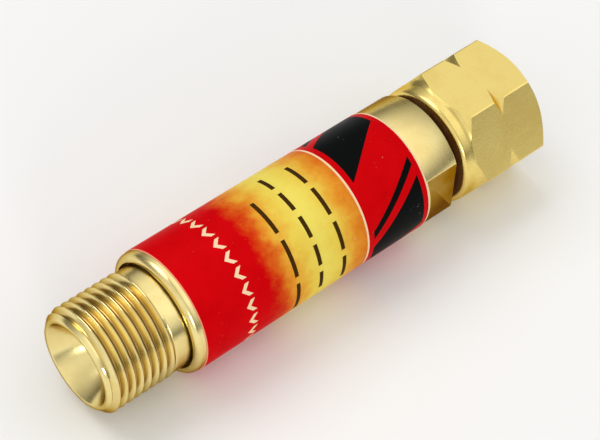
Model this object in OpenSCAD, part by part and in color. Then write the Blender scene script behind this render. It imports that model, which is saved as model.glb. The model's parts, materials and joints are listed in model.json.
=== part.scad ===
// Flashback arrestor of the regulator type, lying on its side, with the gas flowing along +X.
// The origin is the centre of the inlet thread's mouth, and every turned piece shares the X axis.
// Outlines of turned pieces are lists of [radius, x] points.

/* [Union nut] */
// Minor diameter of the nut's internal thread
nut_thread_minor_d = 14.95; // [13.5:0.05:17]
// Depth of the mouth chamfer and of the relief behind the thread
nut_thread_relief = 0.975; // [0.7:0.025:1.4]
// Wall between the thread relief and the flats of the hexagon
nut_wall = 1.05; // [0.8:0.05:3]
// Length of the nut
nut_length = 16.4; // [15:0.1:24]
// Thickness of the nut's back wall
nut_back_wall = 3.5; // [2.9:0.1:4.5]
// Length of the round collar behind the hexagon
nut_collar_length = 2.4; // [1.5:0.1:3.5]
// Slope of the hexagon's chamfers, from the end faces
nut_chamfer_angle = 35; // [25:1:45]
// Distance of the corner notches from the nut's mouth
nut_notch_x = 7.3; // [5.5:0.1:9]
// Depth of the corner notches
nut_notch_depth = 1.08; // [0.4:0.02:1.2]

/* [Inlet stem] */
// Gas bore of the stem
stem_bore_d = 5.2; // [3.5:0.1:6]
// Gap between the stem's collar and the nut's thread
stem_collar_clearance = 0.475; // [0.3:0.025:0.9]
// Height of the collar above the shank, which keeps the nut on
stem_collar_step = 1.2; // [0.8:0.05:1.8]
// Length of the collar
stem_collar_length = 1.3; // [0.9:0.1:2]
// Length of the ball nose in front of the collar
stem_nose_length = 1.5; // [1.2:0.1:2.2]
// Radius of the ball nose
stem_nose_r = 8; // [7:0.1:10]
// Step from the shank down to the threaded spigot
stem_spigot_step = 0.8; // [0.5:0.05:1.2]
// Thickness of the copper washer under the stem's shoulder
washer_t = 0.8; // [0.5:0.1:1]
// Thickness of the gauze filter
filter_t = 0.6; // [0.4:0.05:0.7]
// Thickness of the ring that keeps the filter
filter_ring_t = 0.5; // [0.4:0.05:0.6]

/* [Swivel] */
// Radial gap between the shank and the nut
swivel_clearance = 0.35; // [0.2:0.05:0.5]
// Axial gap between the collar and the nut's back wall
swivel_play = 0.4; // [0.3:0.05:0.8]
// Gap between the nut and the barrel
swivel_gap = 1.5; // [1.1:0.1:3]

/* [Barrel] */
// Outside diameter of the barrel
barrel_d = 19.3; // [18.7:0.1:24]
// Wall of the barrel round the chamber
barrel_wall = 2.05; // [1.9:0.05:2.3]
// Length of the barrel
barrel_length = 50.1; // [47:0.1:65]
// Thickness of the barrel's rear wall
barrel_rear_wall = 5.5; // [4:0.1:7]
// Depth of the recess round the outlet connector's neck
barrel_mouth_depth = 1.6; // [1:0.1:2.5]
// Width of the gap round the outlet connector's neck
barrel_mouth_gap = 0.45; // [0.3:0.05:0.6]
// Round on the barrel's front edge
barrel_edge_r = 1; // [0.5:0.05:1.1]
// Width across the two wrench flats
wrench_flat_af = 17; // [15.5:0.1:18]
// Length of the wrench flats
wrench_flat_length = 6; // [4:0.1:6.2]
// Turn of the wrench flats about the axis, as the barrel lies
wrench_flat_turn = 3; // [-30:1:30]

/* [Label] */
// Thickness of the printed film
label_t = 0.1; // [0.05:0.01:0.3]
// Bare band behind the label
label_rear_margin = 6.2; // [6.2:0.1:10]
// Bare edge in front of the label
label_front_margin = 1.5; // [1.2:0.1:4]
// Opening of the seam where the film's ends meet
label_seam = 0.4; // [0.2:0.1:1]
// Place of the seam round the barrel, from the top towards -Y
label_seam_angle = 200; // [100:5:260]

/* [Outlet connector] */
// Crest diameter of the outlet thread
outlet_thread_d = 16.45; // [15:0.05:17]
// Length of the outlet thread behind its lead chamfer
outlet_thread_length = 10.35; // [8:0.05:16]
// Lead chamfer at the thread's start
outlet_lead = 1.15; // [0.8:0.05:1.4]
// Depth of the neck below the thread's crest
outlet_neck_step = 0.175; // [0.1:0.025:0.4]
// Length of the neck outside the barrel
outlet_neck_length = 2.3; // [1:0.1:5]
// Land between the lead chamfer and the conical seat
outlet_rim = 0.55; // [0.3:0.05:0.8]
// Included angle of the conical seat
outlet_seat_angle = 60; // [50:1:70]
// Gas bore of the outlet
outlet_bore_d = 7; // [5:0.1:7.2]
// Length of the spigot inside the barrel
outlet_spigot_length = 7; // [6:0.1:9]
// Depth of the pocket that takes the flame element
element_pocket_depth = 2; // [1.6:0.1:2.4]

/* [Non-return valve] */
// Length of the valve cartridge
housing_length = 12.5; // [12:0.1:14.5]
// Thickness of the cartridge's inlet wall
housing_wall = 2; // [1.5:0.1:2.2]
// Bore in which the poppet slides
valve_bore_d = 10.4; // [10:0.1:10.8]
// Port that the poppet closes
valve_port_d = 5.8; // [5:0.1:6]
// Opening travel of the poppet
poppet_travel = 1.8; // [1:0.1:1.9]
// Radial running clearance of the poppet
poppet_clearance = 0.08; // [0.04:0.01:0.1]
// Width across the poppet's flats, where the gas passes
poppet_flat_af = 9; // [8.8:0.1:9.4]
// Wire of the valve spring
valve_wire_d = 0.5; // [0.3:0.05:0.5]
// Thickness of the cartridge's end cap
cap_t = 2.2; // [1.6:0.1:2.4]

/* [Thermal cut-off] */
// Length of the ring between the cartridge and the guide
spacer_length = 6.3; // [5.9:0.1:7]
// Wall of the spacer ring and of the clamp sleeve
sleeve_wall = 0.95; // [0.7:0.05:1]
// Thickness of the guide
guide_t = 3; // [2.8:0.1:3.4]
// Number of gas holes in the guide
guide_holes = 8; // [5:1:9]
// Diameter of the gas holes
guide_hole_d = 1.9; // [1.2:0.1:1.9]
// Diameter of the plunger's stem
plunger_stem_d = 2.8; // [2.2:0.1:3]
// Opening between the plunger's seal and its seat
cutoff_opening = 1.9; // [1.4:0.1:2.1]
// Thickness of the sealing disc
cutoff_seal_t = 0.8; // [0.5:0.05:1]
// Wire of the cut-off spring
cutoff_wire_d = 0.6; // [0.4:0.05:0.6]

/* [Flame element] */
// Outside diameter of the sintered thimble
element_d = 11; // [10:0.1:11.6]
// Wall of the sintered thimble
element_wall = 1.8; // [1.2:0.1:2]
// Gap between the guide and the thimble's closed end
element_gap = 0.8; // [0.5:0.1:2]
// Thickness of the gasket under the thimble
gasket_t = 0.6; // [0.4:0.1:1]

/* [Hidden] */
$fn = 96;
// Gap left where one piece is screwed or pressed into another
fit_gap = 0.05;
// Clearance of pieces that must not touch
running_gap = 0.3;
// Small break on turned edges
edge_break = 0.2;
// Overshoot of cutting shapes
cut_over = 1;
// Gap between a seal ring and the bore that it closes
seal_gap = 0.02;
// Spare width of a seal ring's groove
groove_slack = 0.2;
// Layer of glue or solder between two pieces
bond_t = 0.01;
// Pitch of a spring's closed end turns, in wire diameters
closed_pitch = 1.06;

// Nut, from its mouth to its back
nut_minor_r = nut_thread_minor_d / 2;
nut_relief_r = nut_minor_r + nut_thread_relief;
nut_flat_r = nut_relief_r + nut_wall;
nut_corner_r = nut_flat_r / cos(30);
nut_face_step = 0.3;
nut_face_r = nut_flat_r - nut_face_step;
nut_collar_rise = 0.1;
nut_collar_r = nut_flat_r + nut_collar_rise;
nut_collar_taper = 0.2;
nut_collar_back_r = nut_collar_r - nut_collar_taper;
nut_collar_bevel = 0.35;
nut_mouth_x = -nut_thread_relief;
nut_back_x = nut_mouth_x + nut_length;
nut_wall_x = nut_back_x - nut_back_wall;

// Stem, placed by the nut that it carries
collar_r = nut_minor_r - stem_collar_clearance;
shank_r = collar_r - stem_collar_step;
spigot_r = shank_r - stem_spigot_step;
nut_hole_r = shank_r + swivel_clearance;
collar_back_x = nut_wall_x - swivel_play;
collar_front_x = collar_back_x - stem_collar_length;
nose_tip_x = collar_front_x - stem_nose_length;
nose_base_step = 0.8;
nose_base_r = collar_r - nose_base_step;
nose_ball_x = collar_front_x + sqrt(pow(stem_nose_r, 2) - pow(nose_base_r, 2));
nut_thread_end_x = nose_tip_x - running_gap;
filter_ledge = 1.3;
filter_pocket_r = stem_bore_d / 2 + filter_ledge;
filter_setback = 0.4;
filter_pocket_depth = filter_t + filter_ring_t + filter_setback;
filter_ring_width = 0.75;
filter_ring_split = 0.8;

// Barrel and label
barrel_r = barrel_d / 2;
chamber_r = barrel_r - barrel_wall;
barrel_rear_x = nut_back_x + swivel_gap;
barrel_front_x = barrel_rear_x + barrel_length;
chamber_rear_x = barrel_rear_x + barrel_rear_wall;
ledge_x = barrel_front_x - barrel_mouth_depth;
stem_shoulder_x = barrel_rear_x - washer_t;
label_inner_r = barrel_r + bond_t;
label_r = barrel_r + label_t;
label_rear_x = barrel_rear_x + label_rear_margin;
label_front_x = barrel_front_x - label_front_margin;
inner_r = chamber_r - fit_gap;

// Outlet connector
crest_r = outlet_thread_d / 2;
neck_r = crest_r - outlet_neck_step;
mouth_r = neck_r + barrel_mouth_gap;
connector_inner_x = ledge_x - outlet_spigot_length;
thread_rear_x = barrel_front_x + outlet_neck_length;
thread_front_x = thread_rear_x + outlet_thread_length;
outlet_x = thread_front_x + outlet_lead;
rim_r = crest_r - outlet_lead;
seat_r = rim_r - outlet_rim;
outlet_bore_r = outlet_bore_d / 2;
seat_end_x = outlet_x - (seat_r - outlet_bore_r) / tan(outlet_seat_angle / 2);
element_r = element_d / 2;
element_pocket_r = element_r + fit_gap;
element_pocket_x = connector_inner_x + element_pocket_depth;
connector_ring_d = 1.3;
connector_ring_r = chamber_r - connector_ring_d / 2 - seal_gap;
connector_groove_r = connector_ring_r - connector_ring_d / 2 - fit_gap;
connector_groove_w = connector_ring_d + groove_slack;
connector_groove_setback = 2;
connector_groove_x = ledge_x - connector_groove_setback - connector_groove_w;

// Cartridge of the non-return valve
housing_front_x = chamber_rear_x + housing_length;
housing_ring_d = 1.5;
housing_ring_r = chamber_r - housing_ring_d / 2 - seal_gap;
housing_groove_r = housing_ring_r - housing_ring_d / 2 - fit_gap;
housing_groove_w = housing_ring_d + groove_slack;
housing_groove_setback = 1.2;
housing_groove_x = chamber_rear_x + housing_groove_setback;
port_r = valve_port_d / 2;
valve_bore_r = valve_bore_d / 2;
valve_seat_x = chamber_rear_x + housing_wall;
valve_seat_end_x = valve_seat_x + valve_bore_r - port_r;
cap_x = housing_front_x - cap_t;
cap_ledge = 1;
cap_seat_r = valve_bore_r + cap_ledge;
cap_port_r = 2.8;
cap_lip_w = 0.8;
cap_lip_r = cap_port_r + cap_lip_w;
cap_lip_h = 0.6;

// Poppet, placed by its seal against the conical seat
poppet_ring_d = 1.3;
poppet_ring_reach = 0.35;
poppet_ring_r = port_r + poppet_ring_reach;
poppet_seal_gap = 0.1;
poppet_ring_x = valve_seat_x + poppet_ring_reach + (poppet_ring_d / 2 + poppet_seal_gap) * sqrt(2);
poppet_groove_r = poppet_ring_r - poppet_ring_d / 2 - fit_gap;
poppet_groove_half = (poppet_ring_d + groove_slack) / 2;
poppet_nose_x = poppet_ring_x - poppet_groove_half;
poppet_lip_h = 0.45;
poppet_lip_r = poppet_groove_r + poppet_lip_h;
poppet_lip_t = 0.6;
poppet_back_x = poppet_ring_x + poppet_groove_half;
poppet_body_step = 0.9;
poppet_body_r = valve_bore_r - poppet_body_step;
poppet_guide_r = valve_bore_r - poppet_clearance;
poppet_guide_setback = 0.7;
poppet_guide_x = valve_seat_end_x + poppet_guide_setback;
poppet_end_x = cap_x - poppet_travel - running_gap;
poppet_floor_t = 1.3;
poppet_floor_x = poppet_back_x + poppet_floor_t;
poppet_skirt_t = 0.6;
poppet_pocket_r = poppet_flat_af / 2 - poppet_skirt_t;
valve_spring_r = poppet_pocket_r - running_gap - valve_wire_d / 2;
valve_spring_turns = 4;

// Thermal cut-off
guide_x = housing_front_x + spacer_length;
guide_front_x = guide_x + guide_t;
sleeve_r = inner_r - sleeve_wall;
cutoff_seal_x = housing_front_x + cap_lip_h + cutoff_opening;
plunger_head_x = cutoff_seal_x + cutoff_seal_t;
plunger_head_t = 1;
plunger_back_x = plunger_head_x + plunger_head_t;
cutoff_seal_lap = 0.65;
cutoff_seal_r = cap_lip_r + cutoff_seal_lap;
plunger_rim_w = 0.4;
plunger_head_r = cutoff_seal_r + plunger_rim_w;
plunger_rim_x = plunger_head_x - cutoff_seal_t / 2;
plunger_stem_r = plunger_stem_d / 2;
guide_spring_r = 4;
guide_spring_depth = 1.2;
fusible_t = 0.9;
fusible_w = 1.1;
fusible_r = plunger_stem_r + fusible_w;
fusible_gap = 0.1;
fusible_pocket_r = fusible_r + fusible_gap;
fusible_pocket_x = guide_front_x - fusible_t - fusible_gap;
guide_hole_pitch_r = (guide_spring_r + sleeve_r) / 2;
cutoff_spring_r = guide_spring_r - running_gap - cutoff_wire_d / 2;
cutoff_spring_turns = 3;

// Flame element
element_rear_x = guide_front_x + element_gap;
element_front_x = element_pocket_x - gasket_t;
element_bore_r = element_r - element_wall;
element_end_wall = 2.2;
element_edge_r = 1.2;

// Turns a flat outline of [radius, x] about the X axis
module turned() {
    rotate([0, 90, 0])
        rotate_extrude()
            children();
}

// Plain ring between two radii and two places along the axis
module turned_ring(inner, outer, x_from, x_to) {
    turned()
        translate([inner, x_from])
            square([outer - inner, x_to - x_from]);
}

// Round seal of a given middle radius and section
module o_ring(x, ring_r, section_d) {
    turned()
        translate([ring_r, x])
            circle(d = section_d, $fn = 32);
}

// Distance along a coil with closed ends, after a number of turns
function coil_rise(turn, turns, wire_d, length) =
    let (closed = wire_d * closed_pitch, open = (length - wire_d - 2 * closed) / (turns - 2))
    turn < 1 ? turn * closed
    : turn > turns - 1 ? length - wire_d - (turns - turn) * closed
    : closed + (turn - 1) * open;

// Compression spring with closed ends between two places along the axis
module coil_spring(x_from, x_to, coil_r, wire_d, turns) {
    sides = 8;
    steps_per_turn = 18;
    steps = steps_per_turn * turns;
    end_gap = 0.05;
    length = x_to - x_from - 2 * end_gap;
    points = [
        for (step = [0:steps], side = [0:sides - 1])
            let (turn = turns * step / steps, around = 360 * turn, across = 360 * side / sides)
            let (reach = coil_r + wire_d / 2 * cos(across))
            [
                x_from + end_gap + wire_d / 2 * (1 + sin(across)) + coil_rise(turn, turns, wire_d, length),
                reach * cos(around),
                reach * sin(around)
            ]
    ];
    walls = [
        for (step = [0:steps - 1], side = [0:sides - 1])
            let (next = (side + 1) % sides, a = step * sides, b = a + sides)
            [a + side, a + next, b + next, b + side]
    ];
    start_face = [for (side = [sides - 1:-1:0]) side];
    end_face = [for (side = [0:sides - 1]) steps * sides + side];
    polyhedron(points, concat([start_face], walls, [end_face]), convexity = 8);
}

// Turned brass tube, closed at the rear, with two wrench flats on its bare band
module barrel() {
    front_round = min(barrel_edge_r, barrel_r - mouth_r);
    color("goldenrod")
        difference() {
            turned()
                union() {
                    polygon([
                        [spigot_r + fit_gap, barrel_rear_x],
                        [barrel_r - edge_break, barrel_rear_x],
                        [barrel_r, barrel_rear_x + edge_break],
                        [barrel_r, barrel_front_x - front_round],
                        [barrel_r - front_round, barrel_front_x],
                        [mouth_r, barrel_front_x],
                        [mouth_r, ledge_x],
                        [chamber_r, ledge_x],
                        [chamber_r, chamber_rear_x],
                        [spigot_r + fit_gap, chamber_rear_x]
                    ]);
                    intersection() {
                        translate([barrel_r - front_round, barrel_front_x - front_round])
                            circle(front_round);
                        translate([barrel_r - front_round, barrel_front_x - front_round])
                            square(2 * front_round);
                    }
                }
            for (half_turn = [0, 180])
                rotate([wrench_flat_turn + half_turn, 0, 0])
                    translate([barrel_rear_x - cut_over, wrench_flat_af / 2, -barrel_r - cut_over])
                        cube([wrench_flat_length + cut_over, barrel_r, barrel_d + 2 * cut_over]);
        }
}

// Printed film round the barrel, with an open seam on the side away from view
module label() {
    color("firebrick")
        difference() {
            turned_ring(label_inner_r, label_r, label_rear_x, label_front_x);
            rotate([label_seam_angle, 0, 0])
                translate([label_rear_x - cut_over, -label_seam / 2, 0])
                    cube([label_front_x - label_rear_x + 2 * cut_over, label_seam, label_r + cut_over]);
        }
}

// Male outlet with a conical seat, its thread drawn at the crest
module outlet_connector() {
    color("gold")
        turned()
            polygon([
                [element_pocket_r, connector_inner_x],
                [inner_r, connector_inner_x],
                [inner_r, connector_groove_x],
                [connector_groove_r, connector_groove_x],
                [connector_groove_r, connector_groove_x + connector_groove_w],
                [inner_r, connector_groove_x + connector_groove_w],
                [inner_r, ledge_x],
                [neck_r, ledge_x],
                [neck_r, thread_rear_x - outlet_neck_step],
                [crest_r, thread_rear_x],
                [crest_r, thread_front_x],
                [rim_r, outlet_x],
                [seat_r, outlet_x],
                [outlet_bore_r, seat_end_x],
                [outlet_bore_r, element_pocket_x],
                [element_pocket_r, element_pocket_x]
            ]);
}

module connector_o_ring() {
    color("dimgray")
        o_ring(connector_groove_x + connector_groove_w / 2, connector_ring_r, connector_ring_d);
}

// Tail piece with a ball nose, the collar that keeps the nut on and a threaded spigot
module inlet_stem() {
    color("gold")
        turned()
            difference() {
                union() {
                    intersection() {
                        translate([0, nose_ball_x])
                            circle(stem_nose_r);
                        translate([0, nose_tip_x])
                            square([nose_base_r, stem_nose_length]);
                    }
                    polygon([
                        [0, collar_front_x],
                        [collar_r - edge_break, collar_front_x],
                        [collar_r, collar_front_x + edge_break],
                        [collar_r, collar_back_x],
                        [shank_r, collar_back_x],
                        [shank_r, stem_shoulder_x],
                        [spigot_r, stem_shoulder_x],
                        [spigot_r, chamber_rear_x - edge_break],
                        [0, chamber_rear_x - edge_break]
                    ]);
                }
                translate([0, nose_tip_x - cut_over])
                    square([filter_pocket_r, filter_pocket_depth + cut_over]);
                translate([0, nose_tip_x])
                    square([stem_bore_d / 2, chamber_rear_x - nose_tip_x]);
            }
}

module stem_washer() {
    color("chocolate")
        turned_ring(spigot_r + fit_gap, shank_r, stem_shoulder_x, barrel_rear_x);
}

// Gauze disc on the floor of the nose's pocket
module inlet_filter() {
    floor_x = nose_tip_x + filter_pocket_depth;
    color("darkkhaki")
        turned()
            translate([0, floor_x - filter_t])
                square([filter_pocket_r - fit_gap, filter_t]);
}

// Split ring that holds the gauze down
module filter_ring() {
    floor_x = nose_tip_x + filter_pocket_depth - filter_t;
    outer = filter_pocket_r - fit_gap;
    color("silver")
        difference() {
            turned_ring(outer - filter_ring_width, outer, floor_x - filter_ring_t, floor_x);
            translate([floor_x - filter_ring_t - cut_over, -filter_ring_split / 2, 0])
                cube([filter_ring_t + 2 * cut_over, filter_ring_split, outer + cut_over]);
        }
}

// Hexagon nut with chamfered ends, notched corners and a round collar at the back
module union_nut() {
    clear_r = nut_corner_r + cut_over;
    slope = tan(nut_chamfer_angle);
    collar_x = nut_back_x - nut_collar_length;
    notch_x = nut_mouth_x + nut_notch_x;
    notch_r = nut_corner_r - nut_notch_depth;
    notch_half = clear_r - notch_r;
    color("gold")
        intersection() {
            turned()
                polygon([
                    [nut_relief_r, nut_mouth_x],
                    [nut_face_r, nut_mouth_x],
                    [clear_r, nut_mouth_x + (clear_r - nut_face_r) * slope],
                    [clear_r, notch_x - notch_half],
                    [notch_r, notch_x],
                    [clear_r, notch_x + notch_half],
                    [clear_r, collar_x - (clear_r - nut_collar_r) * slope],
                    [nut_collar_r, collar_x],
                    [nut_collar_back_r, nut_back_x - nut_collar_bevel],
                    [nut_collar_back_r - nut_collar_bevel, nut_back_x],
                    [nut_hole_r + edge_break, nut_back_x],
                    [nut_hole_r, nut_back_x - edge_break],
                    [nut_hole_r, nut_wall_x],
                    [nut_relief_r, nut_wall_x],
                    [nut_relief_r, nut_thread_end_x + nut_thread_relief],
                    [nut_minor_r, nut_thread_end_x],
                    [nut_minor_r, 0]
                ]);
            translate([nut_mouth_x - cut_over, 0, 0])
                rotate([0, 90, 0])
                    rotate([0, 0, 30])
                        cylinder(r = nut_corner_r, h = nut_length + 2 * cut_over, $fn = 6);
        }
}

// Cartridge of the non-return valve, with its conical seat facing the outlet
module valve_housing() {
    color("khaki")
        turned()
            polygon([
                [port_r, chamber_rear_x],
                [inner_r, chamber_rear_x],
                [inner_r, housing_groove_x],
                [housing_groove_r, housing_groove_x],
                [housing_groove_r, housing_groove_x + housing_groove_w],
                [inner_r, housing_groove_x + housing_groove_w],
                [inner_r, housing_front_x],
                [cap_seat_r, housing_front_x],
                [cap_seat_r, cap_x],
                [valve_bore_r, cap_x],
                [valve_bore_r, valve_seat_end_x],
                [port_r, valve_seat_x]
            ]);
}

module housing_o_ring() {
    color("dimgray")
        o_ring(housing_groove_x + housing_groove_w / 2, housing_ring_r, housing_ring_d);
}

// Sliding poppet: a lip and groove for the seal, and four guide corners between flats
module valve_poppet() {
    flat_r = poppet_flat_af / 2;
    color("peru")
        difference() {
            turned()
                polygon([
                    [0, poppet_nose_x - poppet_lip_t],
                    [poppet_lip_r - poppet_lip_t, poppet_nose_x - poppet_lip_t],
                    [poppet_lip_r, poppet_nose_x],
                    [poppet_groove_r, poppet_nose_x],
                    [poppet_groove_r, poppet_back_x],
                    [poppet_body_r, poppet_back_x],
                    [poppet_body_r, poppet_guide_x],
                    [poppet_guide_r, poppet_guide_x],
                    [poppet_guide_r, poppet_end_x],
                    [poppet_pocket_r, poppet_end_x],
                    [poppet_pocket_r, poppet_floor_x],
                    [0, poppet_floor_x]
                ]);
            for (quarter = [0:90:270])
                rotate([quarter, 0, 0])
                    translate([poppet_guide_x - running_gap, -valve_bore_r, flat_r])
                        cube([poppet_end_x - poppet_guide_x + cut_over, valve_bore_d, valve_bore_r]);
        }
}

module poppet_o_ring() {
    color("dimgray")
        o_ring(poppet_ring_x, poppet_ring_r, poppet_ring_d);
}

module valve_spring() {
    color("silver")
        coil_spring(poppet_floor_x, cap_x, valve_spring_r, valve_wire_d, valve_spring_turns);
}

// End cap of the cartridge: the spring rests on it, and its lip is the seat of the cut-off
module spring_cap() {
    color("khaki")
        turned()
            polygon([
                [cap_port_r, cap_x],
                [cap_seat_r - fit_gap, cap_x],
                [cap_seat_r - fit_gap, housing_front_x],
                [cap_lip_r, housing_front_x],
                [cap_lip_r, housing_front_x + cap_lip_h],
                [cap_port_r, housing_front_x + cap_lip_h]
            ]);
}

module spacer_ring() {
    color("goldenrod")
        turned_ring(sleeve_r, inner_r, housing_front_x, guide_x);
}

// Guide disc with a ring of gas holes, a spring seat and a pocket for the fusible ring
module cutoff_guide() {
    color("khaki")
        difference() {
            turned()
                polygon([
                    [plunger_stem_r + fit_gap, guide_x + guide_spring_depth],
                    [guide_spring_r, guide_x + guide_spring_depth],
                    [guide_spring_r, guide_x],
                    [inner_r, guide_x],
                    [inner_r, guide_front_x],
                    [fusible_pocket_r, guide_front_x],
                    [fusible_pocket_r, fusible_pocket_x],
                    [plunger_stem_r + fit_gap, fusible_pocket_x]
                ]);
            for (hole = [0:guide_holes - 1])
                rotate([360 * hole / guide_holes, 0, 0])
                    translate([guide_x - cut_over, 0, guide_hole_pitch_r])
                        rotate([0, 90, 0])
                            cylinder(d = guide_hole_d, h = guide_t + 2 * cut_over, $fn = 24);
        }
}

// Plunger with a rimmed head and a stem that the fusible ring holds
module cutoff_plunger() {
    color("peru")
        turned()
            polygon([
                [0, plunger_head_x],
                [cutoff_seal_r + fit_gap, plunger_head_x],
                [cutoff_seal_r + fit_gap, plunger_rim_x],
                [plunger_head_r, plunger_rim_x],
                [plunger_head_r, plunger_back_x],
                [plunger_stem_r, plunger_back_x],
                [plunger_stem_r, fusible_pocket_x + fusible_t],
                [0, fusible_pocket_x + fusible_t]
            ]);
}

module cutoff_seal() {
    color("dimgray")
        turned()
            translate([0, cutoff_seal_x])
                square([cutoff_seal_r, cutoff_seal_t]);
}

module cutoff_spring() {
    guide_seat_x = guide_x + guide_spring_depth;
    color("silver")
        coil_spring(plunger_back_x, guide_seat_x, cutoff_spring_r, cutoff_wire_d, cutoff_spring_turns);
}

module fusible_ring() {
    color("lightgray")
        turned_ring(plunger_stem_r + bond_t, fusible_r, fusible_pocket_x, fusible_pocket_x + fusible_t);
}

// Sintered thimble with a rounded closed end towards the inlet
module flame_element() {
    color("gray")
        turned()
            difference() {
                union() {
                    translate([0, element_rear_x + element_edge_r])
                        square([element_r, element_front_x - element_rear_x - element_edge_r]);
                    translate([0, element_rear_x])
                        square([element_r - element_edge_r, element_edge_r]);
                    intersection() {
                        translate([element_r - element_edge_r, element_rear_x + element_edge_r])
                            circle(element_edge_r);
                        translate([element_r - element_edge_r, element_rear_x])
                            square(element_edge_r);
                    }
                }
                translate([0, element_rear_x + element_end_wall])
                    square([element_bore_r, element_front_x - element_rear_x]);
            }
}

module element_gasket() {
    color("whitesmoke")
        turned_ring(max(element_bore_r, outlet_bore_r), element_r, element_front_x, element_pocket_x);
}

module clamp_sleeve() {
    color("goldenrod")
        turned_ring(sleeve_r, inner_r, guide_front_x, connector_inner_x);
}

barrel();
label();
outlet_connector();
connector_o_ring();
inlet_stem();
stem_washer();
inlet_filter();
filter_ring();
union_nut();
valve_housing();
housing_o_ring();
valve_poppet();
poppet_o_ring();
valve_spring();
spring_cap();
spacer_ring();
cutoff_guide();
cutoff_plunger();
cutoff_seal();
cutoff_spring();
fusible_ring();
flame_element();
element_gasket();
clamp_sleeve();
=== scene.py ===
# %% [markdown]
# A flashback arrestor is a small brass fitting that stops a flame from running back into a gas regulator.
# The packed solids give every place and size, so this lesson only dresses them: it cuts the threads, mills
# the hexagon, lays the printed film round the barrel, winds the springs and gives each metal its own finish.
# The part lies along X: the swivel nut is at the low end and the threaded outlet at the high end.

# %% Load the packed part
import json
import math

import bmesh
import bpy
from mathutils import Matrix, Vector


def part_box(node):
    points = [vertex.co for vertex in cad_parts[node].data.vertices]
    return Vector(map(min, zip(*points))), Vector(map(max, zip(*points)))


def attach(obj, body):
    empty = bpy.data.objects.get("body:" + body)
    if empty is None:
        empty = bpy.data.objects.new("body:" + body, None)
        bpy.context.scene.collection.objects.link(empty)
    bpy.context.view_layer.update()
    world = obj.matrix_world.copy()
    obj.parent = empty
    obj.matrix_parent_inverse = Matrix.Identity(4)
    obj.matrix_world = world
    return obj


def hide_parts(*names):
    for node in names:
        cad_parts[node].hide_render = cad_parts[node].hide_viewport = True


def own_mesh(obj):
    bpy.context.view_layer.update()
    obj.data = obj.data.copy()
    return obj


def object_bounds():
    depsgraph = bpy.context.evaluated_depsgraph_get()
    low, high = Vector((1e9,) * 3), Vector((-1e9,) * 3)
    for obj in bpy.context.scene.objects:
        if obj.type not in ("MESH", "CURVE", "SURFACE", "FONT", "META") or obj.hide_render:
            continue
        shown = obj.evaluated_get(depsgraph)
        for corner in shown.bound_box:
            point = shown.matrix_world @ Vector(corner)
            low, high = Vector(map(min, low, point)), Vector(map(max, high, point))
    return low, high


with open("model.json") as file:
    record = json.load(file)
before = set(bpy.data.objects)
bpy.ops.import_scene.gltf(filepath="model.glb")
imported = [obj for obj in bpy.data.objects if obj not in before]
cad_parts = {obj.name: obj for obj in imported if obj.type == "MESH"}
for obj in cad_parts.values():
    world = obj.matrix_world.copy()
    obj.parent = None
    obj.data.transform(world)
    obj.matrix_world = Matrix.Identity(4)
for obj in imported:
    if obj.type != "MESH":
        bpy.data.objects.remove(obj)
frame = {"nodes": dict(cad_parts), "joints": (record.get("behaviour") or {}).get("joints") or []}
cad_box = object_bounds()
nodes = frame["nodes"]
MM = 0.001
print("nodes:", len(nodes), "box in mm:", [round(c / MM, 2) for corner in cad_box for c in corner])

# %% [markdown]
# The camera stands where the photo was taken: above the outlet end, a little rolled, with a long lens.
# A camera could be aimed with a constraint, but a matrix built from its three axes also holds the roll,
# and nothing has to be solved again when another view moves it.

# %% Camera
CAMERA_AZIMUTH = math.radians(133.7192)
CAMERA_ELEVATION = math.radians(50.1639)
CAMERA_ROLL = math.radians(6.6992)
CAMERA_DISTANCE = 303.3666 * MM
CAMERA_TARGET = Vector((39.368, -0.692, -0.079)) * MM
CAMERA_LENS, CAMERA_SENSOR = 124.645, 36.0
CAMERA_CLIP = 10 * MM


def camera_matrix():
    """Place of the camera from its angles round the target, with the roll about its own line of sight."""
    level = math.cos(CAMERA_ELEVATION)
    back = Vector((
        math.sin(CAMERA_AZIMUTH) * level,
        -math.cos(CAMERA_AZIMUTH) * level,
        math.sin(CAMERA_ELEVATION),
    ))
    level_right = Vector((0, 0, 1)).cross(back).normalized()
    level_up = back.cross(level_right)
    right = math.cos(CAMERA_ROLL) * level_right + math.sin(CAMERA_ROLL) * level_up
    up = back.cross(right)
    place = CAMERA_TARGET + back * CAMERA_DISTANCE
    return Matrix.Translation(place) @ Matrix((right, up, back)).transposed().to_4x4()


camera_data = bpy.data.cameras.new("camera")
camera_data.lens = CAMERA_LENS
camera_data.sensor_width = CAMERA_SENSOR
camera_data.clip_start = CAMERA_CLIP
camera = bpy.data.objects.new("camera", camera_data)
camera.matrix_world = camera_matrix()
bpy.context.scene.collection.objects.link(camera)
bpy.context.scene.camera = camera
bpy.context.scene.view_settings.view_transform = "Standard"
print("camera at", [round(c / MM, 1) for c in camera.location])

# %% [markdown]
# Shader maths reads best as plain Python. One small class wraps the output of a node, and the operators
# add Math nodes behind the scenes, so that 1 - mask or a * b can be written as they are.
# Every other kind of node comes from its one method, node(), which sets the node up and then links it.

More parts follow.
